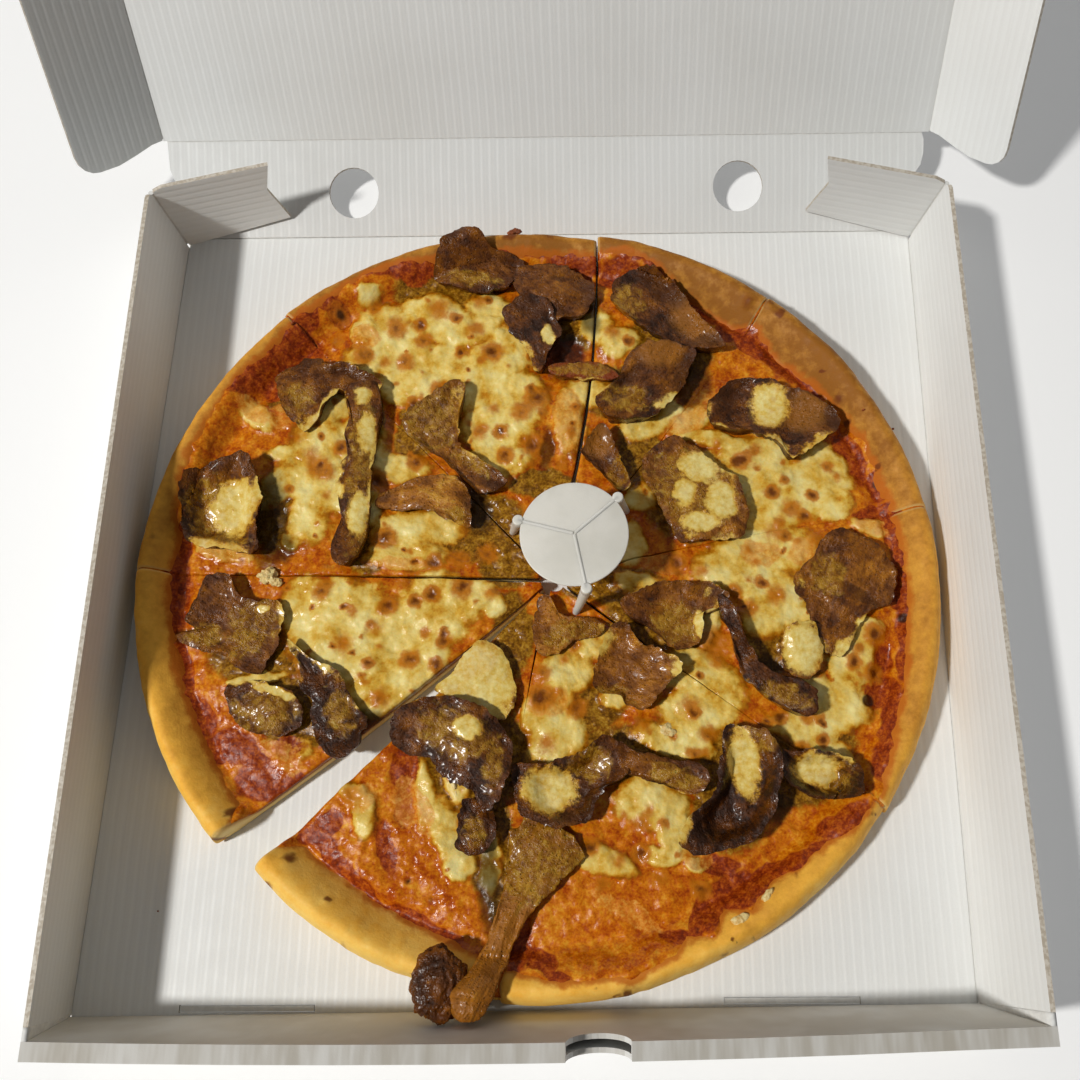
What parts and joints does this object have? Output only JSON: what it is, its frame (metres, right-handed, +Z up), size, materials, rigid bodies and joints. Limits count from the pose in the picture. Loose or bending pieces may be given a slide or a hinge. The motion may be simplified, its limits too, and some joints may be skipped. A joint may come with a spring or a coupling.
{
  "type": "pizza in its box",
  "caption": "Sliced round pizza with shaved meat and melted cheese in its open white corrugated box, with a plastic pizza saver.",
  "frame": {"origin": "middle of the underside of the box floor", "axes": "+Y runs from the front wall to the lid hinge, +X to the right as seen from the front, +Z up"},
  "size_m": [0.3755, 0.5075, 0.3322],
  "materials": {
    "board": "matte white paper liner over corrugated board",
    "crust": "baked dough, dry and matte, browned in places",
    "cheese": "melted cheese and sauce with a film of oil, glossy",
    "meat": "roasted shaved meat, fibrous, greasy in places",
    "plastic": "moulded white plastic, satin"
  },
  "bodies": {
    "tray": {"tray_floor": "board", "tray_wall_left": "board", "tray_wall_right": "board", "tray_front_wall": "board", "slice_1_dough": "crust", "slice_1_cheese": "cheese", "slice_2_dough": "crust", "slice_2_cheese": "cheese", "slice_3_dough": "crust", "slice_3_cheese": "cheese", "slice_4_dough": "crust", "slice_4_cheese": "cheese", "slice_5_dough": "crust", "slice_5_cheese": "cheese", "slice_6_dough": "crust", "slice_6_cheese": "cheese", "slice_7_dough": "crust", "slice_7_cheese": "cheese", "slice_8_dough": "crust", "slice_8_cheese": "cheese", "meat_strip": "meat", "meat_01": "meat", "meat_02": "meat", "meat_03": "meat", "meat_04": "meat", "meat_05": "meat", "meat_06": "meat", "meat_07": "meat", "meat_08": "meat", "meat_09": "meat", "meat_10": "meat", "meat_11": "meat", "meat_12": "meat", "meat_13": "meat", "meat_14": "meat", "meat_15": "meat", "meat_16": "meat", "meat_17": "meat", "meat_18": "meat", "meat_19": "meat", "meat_20": "meat", "meat_21": "meat", "meat_22": "meat", "meat_23": "meat", "meat_24": "meat", "meat_25": "meat", "meat_26": "meat", "meat_27": "meat", "meat_28": "meat", "meat_29": "meat", "meat_30": "meat", "saver": "plastic"},
    "tab_left": {"rear_tab_left": "board"},
    "tab_right": {"rear_tab_right": "board"},
    "back_wall": {"back_wall": "board"},
    "lid": {"lid_panel": "board"},
    "flap_left": {"lid_flap_left": "board"},
    "flap_right": {"lid_flap_right": "board"},
    "flap_front": {"lid_flap_front": "board"}
  },
  "joints": [
    {"name": "back_wall_fold", "type": "hinge", "parent": "tray", "child": "back_wall", "pos_m": [0, 0.1535, 0.0008], "axis": [1, 0, 0], "range_deg": [-22, 66]},
    {"name": "lid_fold", "type": "hinge", "parent": "back_wall", "child": "lid", "pos_m": [0, 0.19077, 0.0174], "axis": [1, 0, 0], "range_deg": [-36, 53.1]},
    {"name": "flap_left_fold", "type": "hinge", "parent": "lid", "child": "flap_left", "pos_m": [-0.15925, 0.19077, 0.0174], "axis": [0, 0.4863, 0.8738], "range_deg": [-45, 45]},
    {"name": "flap_right_fold", "type": "hinge", "parent": "lid", "child": "flap_right", "pos_m": [0.16387, 0.19077, 0.0174], "axis": [0, -0.4863, -0.8738], "range_deg": [-51, 39]},
    {"name": "flap_front_fold", "type": "hinge", "parent": "lid", "child": "flap_front", "pos_m": [0, 0.34471, 0.29397], "axis": [1, 0, 0], "range_deg": [-35, 55]},
    {"name": "tab_left_fold", "type": "hinge", "parent": "tray", "child": "tab_left", "pos_m": [-0.15092, 0.15095, 0.0024], "axis": [-0.0349, 0, 0.9994], "range_deg": [-23.2, 7.8]},
    {"name": "tab_right_fold", "type": "hinge", "parent": "tray", "child": "tab_right", "pos_m": [0.1567, 0.15095, 0.0024], "axis": [0.1392, 0, 0.9903], "range_deg": [-7.8, 23.2]}
  ],
  "couplings": [
    {"joint": "tab_left_fold", "follows": "back_wall_fold", "ratio": -0.35},
    {"joint": "tab_right_fold", "follows": "back_wall_fold", "ratio": 0.35}
  ]
}
